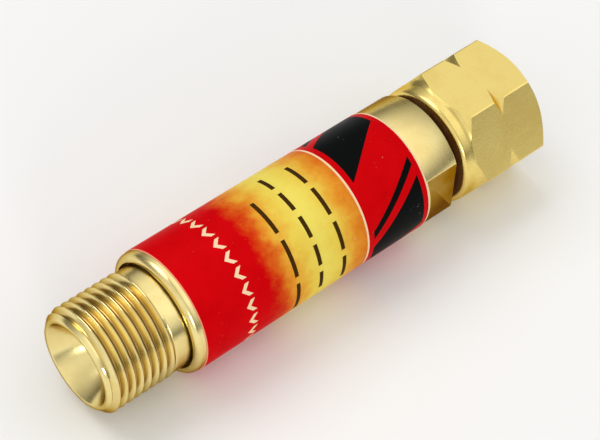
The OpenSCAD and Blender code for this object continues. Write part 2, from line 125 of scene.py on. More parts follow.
# %% Wires between shader nodes
class Wire:
    """One output of a shader node. Operators on wires and numbers add Math nodes."""

    def __init__(self, tree, output):
        self.tree = tree
        self.output = output

    def node(self, kind, settings=None, inputs=None, out=0):
        """A new node of that kind in the same tree: its settings come first, then its values and links."""
        made = self.tree.nodes.new(kind)
        for name, value in (settings or {}).items():
            if name == "stops":
                set_stops(made.color_ramp, value)
            else:
                setattr(made, name, value)
        for name, value in (inputs or {}).items():
            if isinstance(value, Wire):
                self.tree.links.new(value.output, made.inputs[name])
            else:
                made.inputs[name].default_value = value
        return Wire(self.tree, made.outputs[out]) if made.outputs else None

    def math(self, operation, first, second=0.0):
        """A Math node on one or two values."""
        return self.node("ShaderNodeMath", {"operation": operation}, {0: first, 1: second})

    def __add__(self, other):
        return self.math("ADD", self, other)

    def __radd__(self, other):
        return self.math("ADD", other, self)

    def __sub__(self, other):
        return self.math("SUBTRACT", self, other)

    def __rsub__(self, other):
        return self.math("SUBTRACT", other, self)

    def __mul__(self, other):
        return self.math("MULTIPLY", self, other)

    def __rmul__(self, other):
        return self.math("MULTIPLY", other, self)

    def __truediv__(self, other):
        return self.math("DIVIDE", self, other)

    def __lt__(self, other):
        return self.math("LESS_THAN", self, other)

    def __gt__(self, other):
        return self.math("GREATER_THAN", self, other)

    def __mod__(self, other):
        return self.math("FLOORED_MODULO", self, other)

    def __abs__(self):
        return self.math("ABSOLUTE", self)

    def between(self, low, high):
        """1 where the value lies between two others, and 0 elsewhere."""
        return (self > low) * (self < high)

    def fade(self, low, high, start=0.0, end=1.0):
        """The value mapped from the span low to high onto the span start to end, and held at the ends."""
        spans = {"From Min": low, "From Max": high, "To Min": start, "To Max": end}
        return self.node("ShaderNodeMapRange", {"clamp": True}, {"Value": self, **spans})

    def colour(self, plain, painted):
        """The first colour where this mask is 0 and the second where it is 1."""
        return self.node("ShaderNodeMix", {"data_type": "RGBA"}, {0: self, 6: plain, 7: painted}, 2)


def set_stops(ramp, stops):
    """Fills a colour ramp with (place, colour) pairs."""
    while len(ramp.elements) < len(stops):
        ramp.elements.new(1.0)
    for element, (place, colour) in zip(ramp.elements, stops):
        element.position = place
        element.color = colour


print("wires ready, with", sum(callable(part) for part in vars(Wire).values()), "methods")

# %% Colours, places and grains
def paint(red, green, blue):
    """A colour as it looks on screen, from 0 to 255, made linear for the shader by the sRGB curve."""
    def linear(level):
        share = level / 255
        return share / 12.92 if share <= 0.04045 else ((share + 0.055) / 1.055) ** 2.4
    return (linear(red), linear(green), linear(blue), 1.0)


def new_finish(name):
    """An empty material, and its Object coordinates in millimetres."""
    finish = bpy.data.materials.new(name)
    finish.use_nodes = True
    tree = finish.node_tree
    tree.nodes.clear()
    metres = Wire(tree, tree.nodes.new("ShaderNodeTexCoord").outputs["Object"])
    to_millimetres = {0: metres, "Scale": 1 / MM}
    return finish, metres.node("ShaderNodeVectorMath", {"operation": "SCALE"}, to_millimetres)


def close_finish(place, sockets):
    """Ends a material with a Principled shader that has these values and links."""
    shader = place.node("ShaderNodeBsdfPrincipled", None, sockets)
    place.node("ShaderNodeOutputMaterial", None, {"Surface": shader})


def axes_of(place):
    """The three coordinates of a place, each as a wire."""
    return [place.node("ShaderNodeSeparateXYZ", None, {0: place}, axis) for axis in range(3)]


def noise_at(place, scale, detail=2.0, roughness=0.5):
    """Cloudy values from 0 to 1, with a scale in waves per millimetre."""
    values = {"Vector": place, "Scale": scale, "Detail": detail, "Roughness": roughness}
    return place.node("ShaderNodeTexNoise", None, values)


def bump_from(height, strength, depth_mm):
    """A bump whose full height stands for a depth in millimetres."""
    values = {"Height": height, "Strength": strength, "Distance": depth_mm * MM}
    return height.node("ShaderNodeBump", None, values)


MIDDLE = 0.5
print("shader helpers ready, mid grey is", round(paint(128, 128, 128)[0], 3), "in linear light")

# %% [markdown]
# Brass is nearly all reflection: its base colour only tints what it mirrors. What makes it look turned is the
# fine spiral that the tool leaves, so the roughness and a shallow bump follow rings along the axis and round
# the end faces. A wide, soft cloud of tarnish keeps large areas from looking like plastic.
# A metal changes its tint where it is seen at a slant. The shader's Specular Tint is that tint, and a deep
# one darkens the far sides of the turned pieces. A dark brown is painted into the gaps between the nut, the
# barrel and the stem: painted shade, and partly old grease. Grease isn't metal, so it also lowers Metallic.
# The wrench flats get a deeper tone as a painted dark reflection, and the roots of the thread as painted
# shade.

# %% Tones of brass
BRASS = paint(243, 219, 133)
BRASS_PALE = paint(247, 229, 160)
BRASS_TARNISH = paint(210, 168, 72)
# painted shade: the deep tone painted on the wrench flats as a dark reflection and into the thread roots
BRASS_PAINTED_SHADE = paint(160, 115, 24)
BRASS_EDGE = paint(152, 108, 36)
NUT_EDGE = paint(232, 202, 128)
# painted shade in the gaps between nut, barrel and stem, partly old grease
GREASE_AND_SHADE = paint(104, 62, 28)
DRAWN_ALONG, DRAWN_ACROSS, RING_SCALE = 0.05, 6.0, 4.0
TARNISH_SCALE, SPECK_SCALE = 0.16, 2.2
TARNISH_SHARE, SPECK_SHARE = 0.32, 0.16
MARK_ROUGH, TARNISH_ROUGH, MILLED_ROUGH, ROOT_ROUGH, GRIME_ROUGH = 0.12, 0.1, 0.12, 0.1, 0.3
MARK_BUMP = 0.5
# share of painted shade in the thread roots, and where it fades out
ROOT_SHADE, ROOT_FADE, ROOT_MARGIN = 0.55, 1.0, 0.2
GRIME_DULL = 0.9
FLAT_OFF, FLAT_END, FLAT_TURN = 8.5, 22.925, math.radians(3)
FLAT_TOLERANCE, FLAT_MARGIN = 0.01, 0.02
print("wrench flats are", 2 * FLAT_OFF, "mm apart")

# %% Recipe for brass
def brass(name, ring_depth, drawn=False, roughness=0.26, base=BRASS, edge=BRASS_EDGE, gap_shade=None,
          flats=False, thread=None):
    """Turned brass, or drawn hexagon bar with its lines along the axis.

    The gap shade is a span of x, and a radius inside which a dark brown is painted: painted shade in the gap
    between parts, partly old grease. The milled flats get a deeper tone as a painted dark reflection, and the
    roots of a thread get it as painted shade. The thread is given by its end, its root radius and its crest
    radius.
    """
    finish, place = new_finish(name)
    x, y, z = axes_of(place)
    radius = place.math("SQRT", y * y + z * z)
    if drawn:
        tracks = {0: x * DRAWN_ALONG, 1: y * DRAWN_ACROSS, 2: z * DRAWN_ACROSS}
    else:
        tracks = {0: x * RING_SCALE, 1: radius * RING_SCALE, 2: 0.0}
    marks = noise_at(place.node("ShaderNodeCombineXYZ", None, tracks), 1.0, 3.0, 0.6)
    cloud = noise_at(place, TARNISH_SCALE, 4.0, 0.6)
    specks = noise_at(place, SPECK_SCALE, 2.0, 0.5)
    tarnish = cloud.fade(0.42, 0.74) * TARNISH_SHARE + specks.fade(0.62, 0.8) * SPECK_SHARE
    colour = tarnish.colour(base, BRASS_TARNISH)
    rough = roughness + (marks - MIDDLE) * MARK_ROUGH + tarnish * TARNISH_ROUGH
    metal = 1.0
    # painted dark reflection: the wrench flats are painted a deeper tone
    if flats:
        off_axis = abs(y * math.cos(FLAT_TURN) + z * math.sin(FLAT_TURN))
        flat_shade = (abs(off_axis - FLAT_OFF) < FLAT_TOLERANCE) * (x < FLAT_END + FLAT_MARGIN)
        colour = (flat_shade * cloud.fade(0.3, 0.7, 1.0, 0.7)).colour(colour, BRASS_PAINTED_SHADE)
        rough = rough + flat_shade * MILLED_ROUGH
    # painted shade in the thread roots, fading out towards the mouth
    if thread:
        end, root, crest = thread
        root_shade = x.fade(end - ROOT_FADE, end, ROOT_SHADE, 0.0) * radius.fade(root, crest, 1.0, 0.0)
        root_shade = root_shade * (radius > root - ROOT_MARGIN)
        colour = root_shade.colour(colour, BRASS_PAINTED_SHADE)
        rough = rough + root_shade * ROOT_ROUGH
    # painted shade in the gap between parts, partly old grease
    if gap_shade:
        start, end, reach = gap_shade
        shade_and_grease = x.between(start, end) * (radius < reach) * cloud.fade(0.2, 0.5, 0.8, 1.0)
        colour = shade_and_grease.colour(colour, GREASE_AND_SHADE)
        rough = rough + shade_and_grease * GRIME_ROUGH
        metal = 1 - shade_and_grease * GRIME_DULL
    close_finish(place, {
        "Base Color": colour,
        "Metallic": metal,
        "Roughness": rough,
        "Specular Tint": edge,
        "Normal": bump_from(marks, MARK_BUMP, ring_depth),
    })
    return finish


print("brass recipe ready")

# %% Brass finishes
# x spans and reach of the painted shade in the gaps between parts, partly old grease
BAND_GAP_SHADE, NUT_GAP_SHADE, STEM_GAP_SHADE = (16.8, 17.0, 9.3), (15.3, 15.6, 8.7), (12.0, 17.5, 6.5)
# end, root radius and crest radius of the thread for its painted root shade
THREAD_ROOTS = (80.0, 7.4, 8.0)
barrel_brass = brass("barrel_brass", 0.003, roughness=0.25, base=BRASS_PALE, gap_shade=BAND_GAP_SHADE, flats=True)
turned_brass = brass("turned_brass", 0.004, roughness=0.22, base=BRASS_PALE, thread=THREAD_ROOTS)
nut_brass = brass("nut_brass", 0.0008, drawn=True, edge=NUT_EDGE, gap_shade=NUT_GAP_SHADE)
stem_brass = brass("stem_brass", 0.004, gap_shade=STEM_GAP_SHADE)
inner_brass = brass("inner_brass", 0.02, roughness=0.32)
print("brass finishes:", [m.name for m in (barrel_brass, turned_brass, nut_brass, stem_brass, inner_brass)])

# %% [markdown]
# The small inner pieces are hidden until the part is cut open, but each still gets the finish of its own
# stuff: rubber seals with a dusty bloom, a copper washer, drawn spring wire, dull solder and fibre.
# They share one recipe, a cloud between two colours with a grain in the surface, and differ in its numbers.
# The sintered thimble has a recipe of its own, because its grains and pores can be seen one by one.

# %% Finishes of the small pieces
METAL, NOT_METAL = 1.0, 0.0


def plain_stuff(name, light, dark, metallic, roughness, grain_scale, grain_depth):
    """A cloud between two colours, with a grain in the surface."""
    finish, place = new_finish(name)
    cloud = noise_at(place, 0.5, 4.0, 0.6).fade(0.35, 0.7)
    grain = noise_at(place, grain_scale, 3.0, 0.6)
    close_finish(place, {
        "Base Color": (cloud * 0.6 + grain.fade(0.4, 0.7) * 0.4).colour(light, dark),
        "Metallic": metallic,
        "Roughness": roughness + (grain - MIDDLE) * 0.2,
        "Normal": bump_from(grain, 0.6, grain_depth),
    })
    return finish


seal_rubber = plain_stuff("seal_rubber", paint(46, 45, 44), paint(28, 28, 28),
                          NOT_METAL, roughness=0.62, grain_scale=5.0, grain_depth=0.01)
washer_copper = plain_stuff("washer_copper", paint(150, 92, 66), paint(78, 46, 32),
                            METAL, roughness=0.42, grain_scale=3.0, grain_depth=0.012)
spring_steel = plain_stuff("spring_steel", paint(196, 196, 198), paint(150, 150, 154),
                           METAL, roughness=0.28, grain_scale=4.0, grain_depth=0.006)
gauze = plain_stuff("gauze", paint(206, 188, 140), paint(150, 128, 84),
                    METAL, roughness=0.34, grain_scale=4.0, grain_depth=0.006)
solder = plain_stuff("solder", paint(186, 186, 188), paint(132, 133, 138),
                     METAL, roughness=0.48, grain_scale=2.0, grain_depth=0.02)
gasket_fibre = plain_stuff("gasket_fibre", paint(226, 220, 204), paint(188, 178, 156),
                           NOT_METAL, roughness=0.85, grain_scale=6.0, grain_depth=0.02)
print("finishes so far:", len(bpy.data.materials))

# %% Sintered steel
GRAIN_STEEL, PORE_DARK = paint(176, 172, 164), paint(66, 62, 58)


def sintered_grains(name):
    """Steel powder baked into one porous wall: round grains with dark pores between them."""
    finish, place = new_finish(name)
    values = {"Vector": place, "Scale": 3.2, "Smoothness": 0.3}
    grains = place.node("ShaderNodeTexVoronoi", {"feature": "SMOOTH_F1"}, values)
    pores = grains.fade(0.45, 0.75)
    close_finish(place, {
        "Base Color": pores.colour(GRAIN_STEEL, PORE_DARK),
        "Metallic": 0.9,
        "Roughness": pores.fade(0.0, 1.0, 0.42, 0.8),
        "Normal": bump_from(1 - grains, 0.8, 0.12),
    })
    return finish


sintered_steel = sintered_grains("sintered_steel")
print("finishes so far:", len(bpy.data.materials))

# %% [markdown]
# The printed film has fields of colour and simple shapes only: a warm glow on an orange panel between two
# red ends, rows of plain dashes, slanted dark bars at the rear, and a row of chevrons that point with the
# gas. A few pale scuffs show that it has been handled. The print could be painted on a flat image, but worked
# out from the place along the axis and the angle round it, it stays sharp at any distance and needs no
# unwrapping.

# %% Sizes and inks of the print
PANEL_FRONT, PANEL_REAR, PANEL_LINE, LINE_LAP = 53.6, 35.5, 0.32, 0.02
REAR_EDGE, FRONT_EDGE = 0.28, 0.16
FRONT_FADE, FRONT_WANDER = 4.0, 3.4
GLOW_X, GLOW_ANGLE, GLOW_REACH = 43.4, 62.0, 9.5
GLOW_ROUND, GLOW_MOTTLE, GLOW_GAIN = 0.06, 0.42, 0.85
GLOW_STOPS = (
    (0.0, paint(240, 222, 100)),
    (0.3, paint(236, 206, 82)),
    (0.55, paint(230, 156, 48)),
    (0.8, paint(218, 104, 26)),
    (1.0, paint(204, 66, 18)),
)
BAR_PERIOD, BAR_SLANT, BAR_START = 120.0, 4.4, -88.0
BROAD_BAR, THIN_BAR = (8.0, 62.0), (72.0, 80.0)
BAR_SPAN = (24.3, 34.2)
DASH_WIDTH = 0.7
DASH_ROWS = (
    # x, first angle, period, length of a dash in degrees, number of dashes
    (39.7, -14.0, 34.0, 27.0, 4),
    (44.1, -8.0, 27.0, 20.0, 5),
    (48.4, -20.0, 42.0, 35.0, 3),
)
CHEVRON_PERIOD, CHEVRON_TIP, CHEVRON_STROKE, CHEVRON_HALF = 15.0, 57.6, 0.75, 0.95
SCUFF_SCALE, SCUFF_SHARE = 2.4, 0.5
RED, RED_DEEP = paint(222, 8, 15), paint(190, 0, 7)
CREAM, SALMON, SCUFF = paint(246, 216, 176), paint(240, 158, 128), paint(226, 214, 200)
INK, DASH_INK = paint(14, 16, 16), paint(66, 44, 14)
FILM_ROUGH, FILM_GLOSS = 0.36, 0.01
label_low, label_high = (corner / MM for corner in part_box("label"))
print("label from", round(label_low.x, 2), "to", round(label_high.x, 2), "mm")

# %% Print on the label
def colour_fields(x, angle, cloud, mottle):
    """The glow on its panel, with a ragged edge to the red in front and a straight one behind."""
    lobe = angle.math("COSINE", (angle - GLOW_ANGLE) * math.radians(2))
    heat = abs(x - GLOW_X) / GLOW_REACH + (1 - lobe) * GLOW_ROUND + mottle * GLOW_MOTTLE
    glow = heat.node("ShaderNodeValToRGB", {"stops": GLOW_STOPS}, {0: heat * GLOW_GAIN})
    red = cloud.colour(RED, RED_DEEP)
    front_edge = x + mottle * FRONT_WANDER
    fields = front_edge.fade(PANEL_FRONT - FRONT_FADE, PANEL_FRONT).colour(glow, red)
    return (x < PANEL_REAR).colour(fields, red)


def printed_shapes(x, angle, fields):
    """Slanted bars, rows of dashes, chevrons and pale edge lines, printed over the fields."""
    slant = (angle + x * BAR_SLANT + BAR_START) % BAR_PERIOD
    bars = slant.between(*BROAD_BAR) + slant.between(*THIN_BAR)
    fields = (bars * x.between(*BAR_SPAN)).colour(fields, INK)
    for row_x, start, period, dash, count in DASH_ROWS:
        dashes = angle.between(start, start + period * count) * (((angle - start) % period) < dash)
        fields = (x.between(row_x, row_x + DASH_WIDTH) * dashes).colour(fields, DASH_INK)
    aside = abs((angle % CHEVRON_PERIOD) - CHEVRON_PERIOD / 2) * (label_high.z * math.radians(1))
    stroke = abs(x - CHEVRON_TIP + aside) < CHEVRON_STROKE / 2
    fields = (stroke * (aside < CHEVRON_HALF)).colour(fields, CREAM)
    line = x.between(PANEL_REAR - PANEL_LINE, PANEL_REAR + LINE_LAP)
    fields = (line + (x < label_low.x + REAR_EDGE)).colour(fields, CREAM)
    return (x > label_high.x - FRONT_EDGE).colour(fields, SALMON)


def film_print(name):
    """The label's print, from x in millimetres and the angle round the axis in degrees."""
    finish, place = new_finish(name)
    x, y, z = axes_of(place)
    angle = place.math("ARCTAN2", z, y) * math.degrees(1)
    cloud = noise_at(place, 0.28, 5.0, 0.62)
    fine = noise_at(place, 0.9, 4.0, 0.65)
    mottle = (cloud - MIDDLE) * 1.5 + (fine - MIDDLE) * 0.5
    fields = printed_shapes(x, angle, colour_fields(x, angle, cloud, mottle))
    scuffs = noise_at(place, SCUFF_SCALE, 1.0, 0.5).fade(0.76, 0.84) * cloud.fade(0.45, 0.6)
    close_finish(place, {
        "Base Color": (scuffs * SCUFF_SHARE).colour(fields, SCUFF),
        "Roughness": FILM_ROUGH + (fine - MIDDLE) * 0.12,
        "Specular IOR Level": FILM_GLOSS,
        "Normal": bump_from(cloud, 0.15, 0.02),
    })
    return finish


label_film = film_print("label_film")
print("print made with", len(label_film.node_tree.nodes), "nodes")

# %% [markdown]
# Nearly every piece came off a lathe, so nearly every piece starts as half an outline that is spun about X.
# Helpers hold the spin, the merge at the seam and the normals. Sharp rings are then broken with a bevel,
# because a real turned edge is never quite sharp and the highlight on it is what makes metal look solid.

# %% Lathe helpers
TURN_STEPS = 144
SHARP_ANGLE = math.radians(32)
WELD, FINE_WELD = 0.002 * MM, 0.0002 * MM
RING_TOLERANCE = 0.004
ANGLE_TOLERANCE = 1e-6


def spin_outline(bm, outline, closed=True, steps=TURN_STEPS, angle=math.tau, lead=0.0):
    """Spins (x, radius) points in millimetres about the X axis, with an optional lead per turn."""
    verts = [bm.verts.new((x * MM, 0.0, radius * MM)) for x, radius in outline]
    edges = [bm.edges.new(pair) for pair in zip(verts, verts[1:])]
    if closed:
        edges.append(bm.edges.new((verts[-1], verts[0])))
    full = abs(angle - math.tau) < ANGLE_TOLERANCE and lead == 0.0
    step = Vector((lead * MM / steps, 0.0, 0.0))
    bmesh.ops.spin(bm, geom=verts + edges, cent=(0, 0, 0), axis=(1, 0, 0), dvec=step,
                   angle=angle, steps=steps, use_merge=full)
    bmesh.ops.remove_doubles(bm, verts=bm.verts[:], dist=WELD)


def radius_of(vert):
    """Distance of a vertex from the X axis, in millimetres."""
    return math.hypot(vert.co.y, vert.co.z) / MM


def ring_edges(bm, x, radius):
    """The edges of the ring at that place on a turned piece."""
    def on_ring(vert):
        off_x, off_radius = vert.co.x / MM - x, radius_of(vert) - radius
        return abs(off_x) < RING_TOLERANCE and abs(off_radius) < RING_TOLERANCE
    return [e for e in bm.edges if on_ring(e.verts[0]) and on_ring(e.verts[1])]


def bevel_edges(bm, edges, size, segments=2):
    """Breaks edges with a bevel of that size in millimetres."""
    bmesh.ops.bevel(bm, geom=edges, offset=size * MM, offset_type="OFFSET", affect="EDGES",
                    segments=segments, profile=0.5, material=-1, clamp_overlap=True)


def sharp_edges(bm, angle=SHARP_ANGLE):
    """Edges between two faces that meet at more than an angle."""
    return [e for e in bm.edges if len(e.link_faces) == 2 and e.calc_face_angle(0.0) > angle]


def close_ends(bm):
    """Fills every open rim with a face."""
    bmesh.ops.holes_fill(bm, edges=[e for e in bm.edges if e.is_boundary])


print("a full turn has", TURN_STEPS, "steps")

# %% From a bmesh to a piece
def finish_piece(bm, name, finish, body, replaced, sharp=SHARP_ANGLE):
    """Turns a bmesh into a smooth-shaded piece that rides on a body and stands for its CAD nodes."""
    bmesh.ops.remove_doubles(bm, verts=bm.verts[:], dist=FINE_WELD)
    bmesh.ops.recalc_face_normals(bm, faces=bm.faces[:])
    for face in bm.faces:
        face.smooth = True
    for edge in bm.edges:
        edge.smooth = True
    for edge in sharp_edges(bm, sharp):
        edge.smooth = False
    open_edges = sum(1 for e in bm.edges if not e.is_manifold)
    mesh = bpy.data.meshes.new(name)
    bm.to_mesh(mesh)
    bm.free()
    mesh.materials.append(finish)
    piece = bpy.data.objects.new(name, mesh)
    bpy.context.scene.collection.objects.link(piece)
    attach(piece, body)
    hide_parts(*replaced)
    print(name, "faces:", len(mesh.polygons), "open edges:", open_edges)
    return piece


# %% [markdown]
# The threads are left-handed, as on every fuel-gas fitting, so that they can't be mixed up with the oxygen
# side. A thread is a small outline that moves along the axis as it turns: the spin operator does that with
# a lead. Its ends are then shaped by a limit on the radius, which acts like the chamfer that a lathe tool
# leaves, and bisected flat so that a bridge can join the thread to the rest of the piece.

# %% Thread helpers
PITCH = 1.337
THREAD_DEPTH = 0.856
THREAD_STEPS = 120
SPARE_TURNS = 4
THREAD_FORM = (
    # share of the pitch, share of the depth
    (0.0, 0.0), (0.06, 0.03), (0.13, 0.16), (0.37, 0.84), (0.44, 0.97),
    (0.5, 1.0), (0.56, 0.97), (0.63, 0.84), (0.87, 0.16), (0.94, 0.03),
)


def thread_wall(x_from, x_to, root, crest, limit):
    """An open tube with a left-hand thread between two places, held between the radii of limit(x)."""
    bm = bmesh.new()
    turns = math.ceil((x_to - x_from) / PITCH) + SPARE_TURNS
    start = x_from - PITCH
    outline = [
        (start + (turn + share) * PITCH, root + (crest - root) * height)
        for turn in range(turns) for share, height in THREAD_FORM
    ]
    spin_outline(bm, outline, closed=False, steps=THREAD_STEPS, lead=-PITCH)
    for vert in bm.verts:
        radius = radius_of(vert)
        low, high = limit(vert.co.x / MM)
        held = min(max(radius, low), high)
        vert.co.y *= held / radius
        vert.co.z *= held / radius
    for x, side in ((x_from, -1), (x_to, 1)):
        everything = bm.verts[:] + bm.edges[:] + bm.faces[:]
        bmesh.ops.bisect_plane(bm, geom=everything, plane_co=(x * MM, 0, 0), plane_no=(side, 0, 0),
                               clear_outer=True)
    mesh = bpy.data.meshes.new("thread")
    bm.to_mesh(mesh)
    bm.free()
    return mesh


def join_thread(bm, mesh):
    """Adds a thread to an open turned piece and bridges both of its ends."""
    bm.from_mesh(mesh)
    bpy.data.meshes.remove(mesh)
    rims = [e for e in bm.edges if e.is_boundary]
    places = [sum(v.co.x for v in e.verts) / 2 for e in rims]
    middle = (min(places) + max(places)) / 2
    for end in (0, 1):
        loops = [e for e, place in zip(rims, places) if (place > middle) == bool(end)]
        bmesh.ops.bridge_loops(bm, edges=loops)


print("thread of", PITCH, "mm pitch ready")

# %% [markdown]
# The outlet connector is the piece nearest to the camera: a male thread with a conical seat in its mouth.
# Its body is an open outline that starts at the rim, runs down the seat and the bore, and comes back along
# the outside, past the groove of its seal, to the neck. The thread fills the gap between neck and rim.

# %% Sizes of the outlet connector
connector_low, connector_high = (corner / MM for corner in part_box("outlet_connector"))
CONNECTOR_REAR, OUTLET_X = connector_low.x, connector_high.x
CREST_R, NECK_R, RIM_R, SEAT_R, BORE_R = 8.225, 8.05, 7.075, 6.525, 3.5
ROOT_R = CREST_R - THREAD_DEPTH
NECK_END = 69.1
SEAT_END = OUTLET_X - (SEAT_R - BORE_R) / math.tan(math.radians(30))
RECESS_X, RECESS_R = 60.425, 5.55
PLUG_R, GROOVE_R = 7.55, 6.23
GROOVE_REAR, GROOVE_FRONT = 61.925, 63.425
MOUTH_STEP_X = 65.425
THREAD_LAP = 0.03
RUN_OUT_GAP, RUN_OUT_SLOPE = 0.25, 0.62
NECK_GAP, NECK_SLOPE = 0.15, 0.9


def connector_limit(x):
    """Lead chamfer at the mouth, and a short run-out where the thread meets the neck."""
    high = min(CREST_R, RIM_R + (OUTLET_X - x))
    run_out = NECK_R - max(0.0, x - NECK_END - RUN_OUT_GAP) * RUN_OUT_SLOPE
    neck = NECK_R + max(0.0, x - NECK_END - NECK_GAP) * NECK_SLOPE
    return min(run_out, high), min(high, neck)


print("seat from", round(SEAT_END, 2), "to", round(OUTLET_X, 2), "mm")

# %% Outlet connector
bm = bmesh.new()
spin_outline(bm, [
    (OUTLET_X, RIM_R - THREAD_LAP), (OUTLET_X, SEAT_R), (SEAT_END, BORE_R), (RECESS_X, BORE_R),
    (RECESS_X, RECESS_R), (CONNECTOR_REAR, RECESS_R), (CONNECTOR_REAR, PLUG_R), (GROOVE_REAR, PLUG_R),
    (GROOVE_REAR, GROOVE_R), (GROOVE_FRONT, GROOVE_R), (GROOVE_FRONT, PLUG_R), (MOUTH_STEP_X, PLUG_R),
    (MOUTH_STEP_X, NECK_R), (NECK_END - THREAD_LAP, NECK_R),
], closed=False)
bevel_edges(bm, ring_edges(bm, OUTLET_X, SEAT_R), size=0.12)
bevel_edges(bm, ring_edges(bm, SEAT_END, BORE_R), size=0.25, segments=3)
join_thread(bm, thread_wall(NECK_END, OUTLET_X - THREAD_LAP, ROOT_R, CREST_R, connector_limit))
finish_piece(bm, "connector_threaded", turned_brass, "body", ["outlet_connector"])

# %% [markdown]
# The union nut swivels on the stem. A real one is turned from hexagon bar, with V notches in its corners that
# mark a left-hand thread. Here it goes the other way round: a round blank with the chamfers and the notch is
# spun first, then six bisecting planes mill the flats, which leaves the curved edges of the chamfers by
# themselves, and six more break the corners.

# %% Sizes of the union nut
nut_low, nut_high = (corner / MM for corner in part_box("union_nut"))
MOUTH_X, BACK_X = nut_low.x, nut_high.x
FLAT_R = nut_high.z
CORNER_BREAK, BLANK_SPARE = 0.07, 0.27
CORNER_R = FLAT_R / math.cos(math.radians(30)) - CORNER_BREAK
BLANK_R = CORNER_R + BLANK_SPARE
FACE_R = 9.2
COLLAR_TAPER, COLLAR_LENGTH = 0.1, 2.4
COLLAR_R, COLLAR_BACK_R, COLLAR_X = FLAT_R + COLLAR_TAPER, FLAT_R - COLLAR_TAPER, BACK_X - COLLAR_LENGTH
CHAMFER_SLOPE = math.tan(math.radians(35))
MOUTH_CHAMFER = (BLANK_R - FACE_R) * CHAMFER_SLOPE
COLLAR_CHAMFER = (BLANK_R - COLLAR_R) * CHAMFER_SLOPE
NOTCH_X, NOTCH_R = 6.325, 9.89
NOTCH_HALF = BLANK_R - NOTCH_R
MINOR_R, RELIEF_R, HOLE_R = 7.475, 8.45, 6.15
THREAD_END, WALL_END, RELIEF_X, BACK_WALL_X = 8.425, 9.42, 9.44, 11.925
MOUTH_LAP = 0.02
NUT_SHARP = math.radians(26)
SIDES = 6


def nut_limit(x):
    """Mouth chamfer of the internal thread, and its run into the relief behind."""
    mouth = RELIEF_R - (x - MOUTH_X)
    relief = MINOR_R + (x - THREAD_END)
    return max(MINOR_R, mouth, relief), RELIEF_R


def mill_flat(bm, angle, distance):
    """Cuts one flat at a distance from the axis and closes the cut."""
    normal = Vector((0.0, math.cos(angle), math.sin(angle)))
    everything = bm.verts[:] + bm.edges[:] + bm.faces[:]
    cut = bmesh.ops.bisect_plane(bm, geom=everything, plane_co=normal * (distance * MM), plane_no=normal,
                                 clear_outer=True)
    bmesh.ops.edgeloop_fill(bm, edges=[e for e in cut["geom_cut"] if isinstance(e, bmesh.types.BMEdge)])


print("hexagon of", round(2 * FLAT_R, 2), "mm across flats")

# %% Union nut
bm = bmesh.new()
spin_outline(bm, [
    (MOUTH_X, RELIEF_R + MOUTH_LAP), (MOUTH_X, FACE_R), (MOUTH_X + MOUTH_CHAMFER, BLANK_R),
    (NOTCH_X - NOTCH_HALF, BLANK_R), (NOTCH_X, NOTCH_R), (NOTCH_X + NOTCH_HALF, BLANK_R),
    (COLLAR_X - COLLAR_CHAMFER, BLANK_R), (COLLAR_X, COLLAR_R), (BACK_X, COLLAR_BACK_R),
    (BACK_X, HOLE_R), (BACK_WALL_X, HOLE_R), (BACK_WALL_X, RELIEF_R), (RELIEF_X, RELIEF_R),
], closed=False)
bevel_edges(bm, ring_edges(bm, BACK_X, COLLAR_BACK_R), size=0.75, segments=6)
bevel_edges(bm, ring_edges(bm, COLLAR_X, COLLAR_R), size=0.8, segments=6)
bevel_edges(bm, ring_edges(bm, BACK_X, HOLE_R), size=0.2)
for side in range(SIDES):
    mill_flat(bm, math.radians(30 + 60 * side), FLAT_R)
for corner in range(SIDES):
    mill_flat(bm, math.radians(60 * corner), CORNER_R)
join_thread(bm, thread_wall(MOUTH_X + MOUTH_LAP, WALL_END, MINOR_R + THREAD_DEPTH, MINOR_R, nut_limit))
finish_piece(bm, "nut_hexagon", nut_brass, "nut", ["union_nut"], NUT_SHARP)

# %% [markdown]
# The barrel is a plain tube with a generous round at its mouth and two wrench flats on the bare band at the
# rear. A Boolean cut would make the flats too. Bisecting only the faces of the band gives the same cut with
# clean edges: the plane leaves an open window, one chord closes its outline, and two faces fill it.

# %% Barrel
barrel_low, barrel_high = (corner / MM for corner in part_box("barrel"))
BARREL_REAR, BARREL_FRONT = barrel_low.x, barrel_high.x
BARREL_R, BARREL_MOUTH_R, CHAMBER_R, SOCKET_R = 9.65, 8.5, 7.6, 5.05
CHAMBER_REAR = 22.425
HAIR, CLOSE = 1e-7, 1e-6  # tolerances in metres


def mill_wrench_flat(bm, angle):
    """Cuts one wrench flat into the band behind the label and closes the window that it leaves."""
    normal = Vector((0.0, math.cos(angle), math.sin(angle)))
    limit = FLAT_END * MM + HAIR
    band = [f for f in bm.faces if all(v.co.x < limit for v in f.verts)]
    rims = {e for f in band for e in f.edges}
    loose = {v for f in band for v in f.verts if v.co.x < limit - CLOSE}
    cut = bmesh.ops.bisect_plane(bm, geom=band + list(rims) + list(loose), plane_co=normal * FLAT_OFF * MM,
                                 plane_no=normal, clear_outer=True)
    lines = [e for e in cut["geom_cut"] if isinstance(e, bmesh.types.BMEdge) and e.is_valid]
    rim = [v for v in bm.verts if abs(v.co.x - FLAT_END * MM) < HAIR]
    ends = [v for v in rim if abs(v.co.dot(normal) - FLAT_OFF * MM) < HAIR]
    chord = bm.edges.new(ends)
    bmesh.ops.edgeloop_fill(bm, edges=lines + [chord])
    arc = [e for e in bm.edges if e.is_boundary and e != chord]
    bmesh.ops.edgeloop_fill(bm, edges=arc + [chord])


